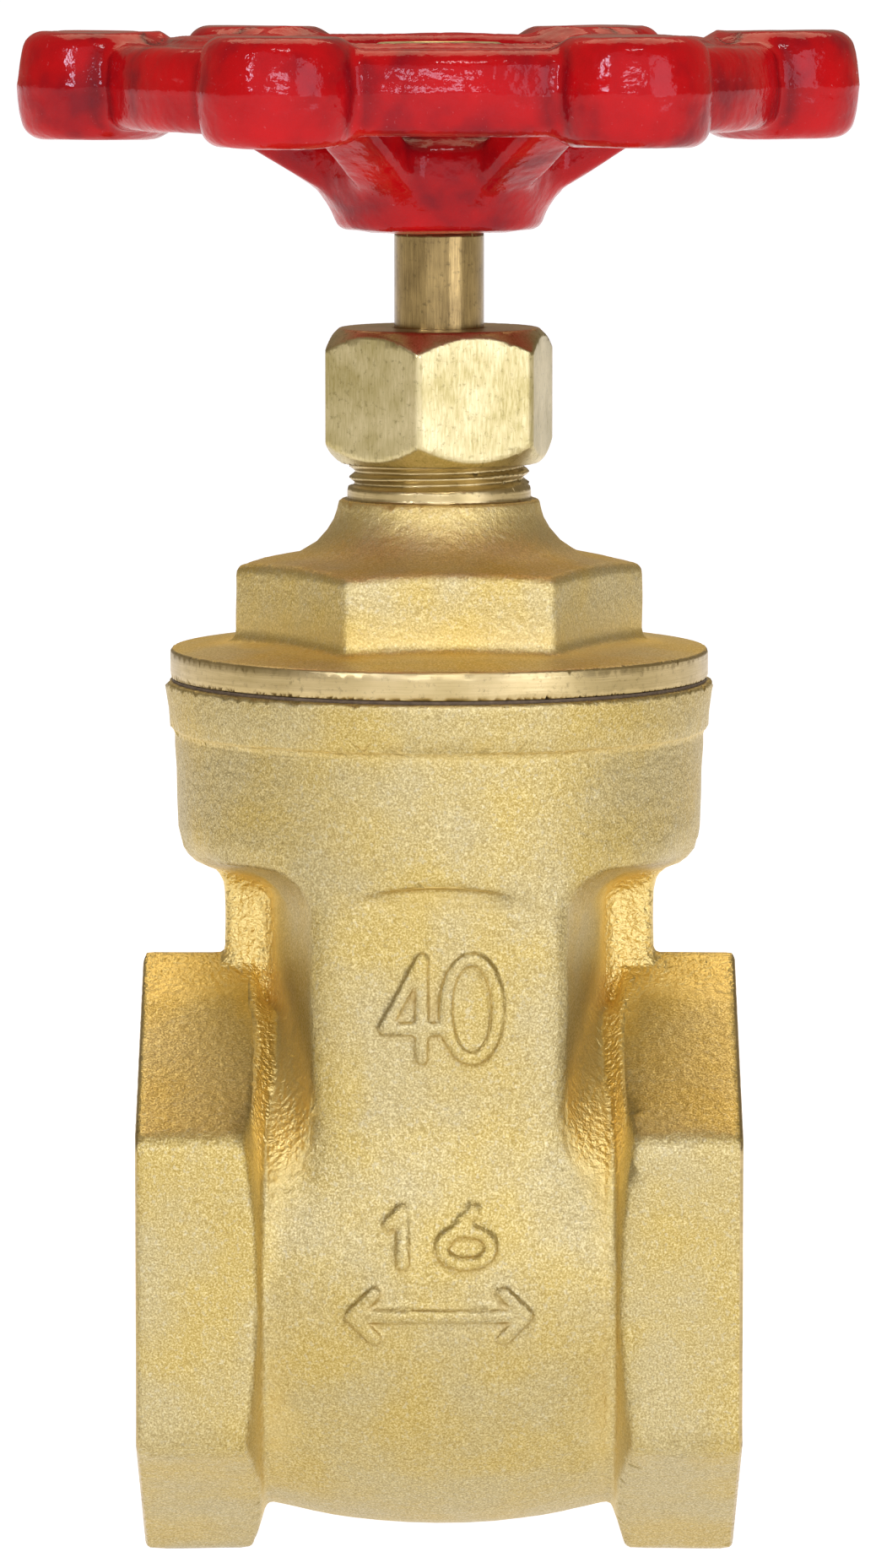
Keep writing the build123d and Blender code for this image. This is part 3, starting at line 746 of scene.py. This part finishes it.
def nut_field(g, flat, low, high, turn_deg, face_r, corner_drop, bore_r):
    """Hexagon nut whose corners are turned down at both ends."""
    bar = meet(hexagon(g.x, g.y, flat, 0.35, turn_deg - 90.0), slab(g.z, low, high), 0.2)
    corner_r = flat / math.cos(math.pi / 6)
    grade = corner_drop / (corner_r - face_r)
    lean = 1 / math.hypot(1.0, grade)
    top = (g.z - high + (g.around_stem - face_r) * grade) * lean
    bottom = (low - g.z + (g.around_stem - face_r) * grade) * lean
    bar = meet(meet(bar, top, 0.15), bottom, 0.15)
    return cut(bar, g.around_stem - bore_r, 0.2)


def build_packing_nut():
    """Packing nut, open below, with a roof round the stem."""
    low, high = box_mm("packing_nut")
    g = Grid(low, high, 0.14)
    field = nut_field(g, flat=11.0, low=low[2], high=high[2], turn_deg=20.0, face_r=10.4,
                      corner_drop=2.3, bore_r=4.8)
    socket_r = 9.48
    roof = 5.0
    field = cut(field, np.maximum(g.around_stem - socket_r, g.z - (high[2] - roof)), 0.2)
    return build_piece("packing_nut_hexagon", "packing_nut", g, field, [DRAWN])


def build_wheel_nut():
    """Small nut that holds the handwheel on the stem's end."""
    low, high = box_mm("handwheel_nut")
    g = Grid(low, high, 0.12)
    field = nut_field(g, flat=6.5, low=low[2], high=high[2], turn_deg=11.0, face_r=6.3,
                      corner_drop=0.8, bore_r=4.03)
    return build_piece("handwheel_nut_hexagon", "handwheel_nut", g, field, [DRAWN])


# ---- Stem

SHANK_R = 4.7
SHANK_BOTTOM = 69.6
COLLAR_R = 6.3
COLLAR_BOTTOM = 77.35
COLLAR_TOP = 79.55
SQUARE_HALF = 3.5


def build_stem():
    """Stem: driving thread, shank, collar, square for the handwheel and threaded end."""
    low, high = box_mm("stem")
    g = Grid(low, high, 0.18)
    angle = np.arctan2(g.y, g.x)
    hub_low = box_mm("handwheel")[0][2]
    hub_high = box_mm("handwheel_washer")[0][2]
    shank = meet(g.around_stem - SHANK_R, slab(g.z, SHANK_BOTTOM, hub_low), 0.2)
    driving = screw(g.around_stem, angle, g.z, *STEM_THREAD, LEFT_HAND)
    driving = meet(driving, slab(g.z, low[2], SHANK_BOTTOM + 0.2), 0.4)
    collar = meet(g.around_stem - COLLAR_R, slab(g.z, COLLAR_BOTTOM, COLLAR_TOP), 0.2)
    square = meet(np.abs(g.x) - SQUARE_HALF, np.abs(g.y) - SQUARE_HALF, 0.2)
    square = np.maximum(meet(square, g.around_stem - SHANK_R, 0.2), slab(g.z, hub_low - 0.5, hub_high))
    end = screw(g.around_stem, angle, g.z, *STEM_END_THREAD)
    point = (g.around_stem - 3.3 + g.z - high[2]) * math.cos(math.pi / 4)
    end = np.maximum(meet(end, point, 0.2), slab(g.z, hub_high - 0.3, high[2]))
    field = join(join(join(join(shank, driving), collar, 0.3), square), end)
    return build_piece("stem_bar", "stem", g, field, [STEM_BRASS])


# ---- Wedge: heights are from the disc's centre

DISC_R = 20.5
DISC_HALF_X = 7.85
BOSS_R = 7.6
BOSS_TOP = 29.5
GROOVE_HALF_X = 1.8
GROOVE_Y = 18.9
WEDGE_BORE_R = 4.8
WEDGE_BORE_BOTTOM = -17.3
WEDGE_THREAD_BOTTOM = 20.4


def build_wedge():
    """Gate: leaning faces, grooves for the body's ribs and a threaded boss for the stem."""
    low, high = box_mm("wedge")
    g = Grid(low, high, 0.3)
    z = g.z - (high[2] - BOSS_TOP)
    face = (np.abs(g.x) - DISC_HALF_X - z * math.tan(SEAT_LEAN)) * math.cos(SEAT_LEAN)
    disc = meet(np.sqrt(g.y ** 2 + z ** 2) - DISC_R, face, 0.6)
    boss = meet(g.around_stem - BOSS_R, slab(z, 14.0, BOSS_TOP), 0.8)
    groove = meet(np.abs(g.x) - GROOVE_HALF_X, GROOVE_Y - np.abs(g.y), 0.4)
    shape = cut(join(disc, boss, 2.0), groove, 0.5)
    nut = screw(g.around_stem, np.arctan2(g.y, g.x), g.z, *WEDGE_THREAD, LEFT_HAND)
    bore = np.maximum(g.around_stem - WEDGE_BORE_R, slab(z, WEDGE_BORE_BOTTOM, WEDGE_THREAD_BOTTOM + 0.1))
    hollow = join(bore, np.maximum(nut, WEDGE_THREAD_BOTTOM - z))
    return build_piece("gate_wedge", "wedge", g, cut(shape, hollow, 0.2), [WEDGE_CAST])


# ---- Handwheel

WHEEL_LOW, WHEEL_HIGH = box_mm("handwheel")
WHEEL_MIDDLE = 122.6
RIM_R = 31.3
RIM_HALF_WIDTH = 4.4
RIM_HALF_HEIGHT = 4.35
LOBE_TURN = -57.0
LOBE_CENTRE_R = 35.5
LOBE_R = 8.3
LOBE_HALF_HEIGHT = 5.55
BELLY_HALF_HEIGHT = 5.5        # the rim's side has fallen back 1 mm this far from the middle
SEAM_HEIGHT = 0.09
SEAM_HALF_WIDTH = 0.42
HUB_R = 11.3
HUB_TOP = box_mm("handwheel_washer")[0][2]
DISH_BOTTOM = 111.0
DISH_THICKNESS = 4.4
DISH_GRADE = 0.62
SPOKE_HALF_WIDTH = 3.5
WINDOW_INNER_R = 12.2
WINDOW_OUTER_R = 26.3


def folded(g, first_deg):
    """Coordinates towards and across the nearest of six equal directions round the stem."""
    step = math.radians(60)
    angle = np.arctan2(g.y, g.x) - math.radians(first_deg)
    angle = angle - step * np.round(angle / step)
    return g.around_stem * np.cos(angle), g.around_stem * np.sin(angle)


def pill(a, b, half_a, half_b, edge):
    """Rounded rectangle in two coordinates."""
    u = np.abs(a) - half_a + edge
    v = np.abs(b) - half_b + edge
    return np.sqrt(np.maximum(u, 0) ** 2 + np.maximum(v, 0) ** 2) + np.minimum(np.maximum(u, v), 0) - edge


def handwheel_rim(g):
    """Rim and six lobes, bulging at mid height, with the mould's seam round the outside."""
    height = g.z - WHEEL_MIDDLE
    belly = (height / BELLY_HALF_HEIGHT) ** 2
    rim = pill(g.around_stem - RIM_R + belly, height, RIM_HALF_WIDTH, RIM_HALF_HEIGHT, 1.6)
    out, across = folded(g, LOBE_TURN)
    from_lobe = np.sqrt((out - LOBE_CENTRE_R) ** 2 + across ** 2)
    lobe = pill(from_lobe + 1.1 * belly, height - 0.1, LOBE_R, LOBE_HALF_HEIGHT, 1.5)
    seam = SEAM_HEIGHT * np.exp(-(height / SEAM_HALF_WIDTH) ** 2) * (g.around_stem > 26.0)
    return join(rim, lobe, 1.1) - seam


def handwheel_field(g):
    """Rim and hub joined by a dish, which six windows divide into spokes."""
    rise = (g.z - DISH_BOTTOM - DISH_GRADE * (g.around_stem - HUB_R)) * math.cos(math.atan(DISH_GRADE))
    dish = np.maximum(slab(rise, 0.0, DISH_THICKNESS), slab(g.around_stem, 8.0, 28.0))
    out, across = folded(g, LOBE_TURN + 30.0)
    sector = math.radians(30.0)
    window = SPOKE_HALF_WIDTH - out * math.sin(sector) + np.abs(across) * math.cos(sector)
    window = meet(meet(window, WINDOW_INNER_R - g.around_stem, 2.0), g.around_stem - WINDOW_OUTER_R, 2.0)
    dish = cut(dish, window, 1.4)

    hub_heights = [WHEEL_LOW[2], DISH_BOTTOM, DISH_BOTTOM + 5.5, HUB_TOP]
    hub_r = np.interp(g.z, hub_heights, [HUB_R - 0.8, HUB_R, HUB_R, HUB_R - 1.5]).astype(np.float32)
    hub = meet(g.around_stem - hub_r, slab(g.z, WHEEL_LOW[2], HUB_TOP), 0.9)
    wheel = join(handwheel_rim(g), join(hub, dish, 2.0), 2.2)
    play = 0.05
    square = np.maximum(np.abs(g.x), np.abs(g.y)) - SQUARE_HALF - play
    return cut(wheel, np.maximum(square, g.around_stem - SHANK_R - play), 0.3)


def wheel_relief(points, _normals):
    """Unevenness of the paint and the casting."""
    x, y, z = points.T
    return (np.sin(x * 0.5 + 0.7) * np.sin(y * 0.45 + 1.1) + np.sin(z * 0.8 + x * 0.3)
            + np.sin(y * 0.9 - z * 0.5)) * 0.04


def build_handwheel():
    """Handwheel casting, meshed finely because its gloss shows every facet."""
    g = Grid(WHEEL_LOW, WHEEL_HIGH, 0.32)
    return build_piece("handwheel_casting", "handwheel", g, handwheel_field(g), [RED], wheel_relief,
                       merging=0.01)


# ---- Plain CAD pieces

def dress(node, material):
    """Gives a carried-over CAD node its material."""
    mesh = frame["nodes"][node].data
    mesh.materials.clear()
    mesh.materials.append(material)


# ---- Stage

def add_light(name, place, target, size, power, colour):
    """Rectangular softbox in metres, aimed at target."""
    lamp = bpy.data.lights.new(name, "AREA")
    lamp.shape = "RECTANGLE"
    lamp.size, lamp.size_y = size
    lamp.energy = power
    lamp.color = colour
    light = bpy.data.objects.new(name, lamp)
    light.location = place
    light.rotation_euler = (Vector(target) - Vector(place)).to_track_quat("-Z", "Y").to_euler()
    bpy.context.scene.collection.objects.link(light)


FLOOR_HALF = 20.0
COOL = (1.0, 1.06, 1.34)
NEUTRAL = (1.0, 1.0, 1.05)
WARM = (1.0, 0.83, 0.56)


def build_stage():
    """Pale glowing floor, warm dim surroundings and soft lights in front and above."""
    floor_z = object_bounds()[0][2]
    mesh = bpy.data.meshes.new("floor")
    corners = [(-1, -1), (1, -1), (1, 1), (-1, 1)]
    mesh.from_pydata([(u * FLOOR_HALF, v * FLOOR_HALF, floor_z) for u, v in corners], [], [(0, 1, 2, 3)])
    floor = bpy.data.objects.new("floor", mesh)
    bpy.context.scene.collection.objects.link(floor)
    material, _, shader = new_material("pale_floor")
    shader.inputs["Base Color"].default_value = (0.4, 0.4, 0.4, 1.0)
    shader.inputs["Roughness"].default_value = 0.9
    shader.inputs["Emission Color"].default_value = (0.96, 0.95, 1.0, 1.0)
    shader.inputs["Emission Strength"].default_value = 0.97
    mesh.materials.append(material)

    world = bpy.data.worlds.new("studio")
    world.use_nodes = True
    sky = world.node_tree.nodes["Background"]
    sky.inputs["Color"].default_value = (1.0, 0.86, 0.64, 1.0)
    sky.inputs["Strength"].default_value = 0.28
    bpy.context.scene.world = world
    bpy.context.scene.view_settings.view_transform = "Standard"

    middle = (0.0, 0.0, 0.05)
    add_light("front_softbox", (-0.1, -1.2, 0.35), middle, (1.4, 1.2), 2.8, COOL)
    add_light("band_softbox", (0.0, -1.15, 0.38), middle, (0.45, 0.11), 1.9, COOL)
    add_light("key_softbox", (0.9, -1.0, 0.3), middle, (0.7, 1.0), 5.6, COOL)
    add_light("left_softbox", (-0.75, -0.9, 0.55), middle, (0.11, 0.24), 2.4, COOL)
    add_light("glint_softbox", (0.12, -0.62, 0.95), middle, (0.22, 0.07), 1.6, NEUTRAL)
    add_light("top_softbox", (0.0, 0.5, 1.1), middle, (1.0, 0.8), 7.4, WARM)


# ---- Camera

CAMERA_FOCAL_PX = 9800.0
CAMERA_SCALE = 11.3            # image units per millimetre at the stem
IMAGE_HEIGHT = 1858
CAMERA_PITCH = math.radians(6.19)
CAMERA_AIM_Z = 49.6
CAMERA_SHIFT_X = -0.12


def build_camera():
    """Camera at the photo's angle: straight on and slightly above."""
    distance = CAMERA_FOCAL_PX / CAMERA_SCALE
    data = bpy.data.cameras.new("camera")
    data.sensor_fit = "VERTICAL"
    data.sensor_height = 24.0
    data.lens = CAMERA_FOCAL_PX / IMAGE_HEIGHT * data.sensor_height
    data.clip_start = 0.01
    camera = bpy.data.objects.new("camera", data)
    camera.location = Vector((CAMERA_SHIFT_X, -distance * math.cos(CAMERA_PITCH),
                              CAMERA_AIM_Z + distance * math.sin(CAMERA_PITCH))) * MM
    camera.rotation_euler = (math.pi / 2 - CAMERA_PITCH, 0.0, 0.0)
    bpy.context.scene.collection.objects.link(camera)
    bpy.context.scene.camera = camera


build_body()
build_bonnet()
build_packing_nut()
build_stem()
build_wedge()
build_handwheel()
build_wheel_nut()
dress("bonnet_gasket", FIBRE)
dress("thrust_washer", TURNED)
dress("packing_washer", TURNED)
dress("gland_follower", TURNED)
dress("handwheel_washer", ZINC)
for ring in ("lower", "middle", "upper"):
    dress("packing_ring_" + ring, PTFE)
build_stage()
build_camera()
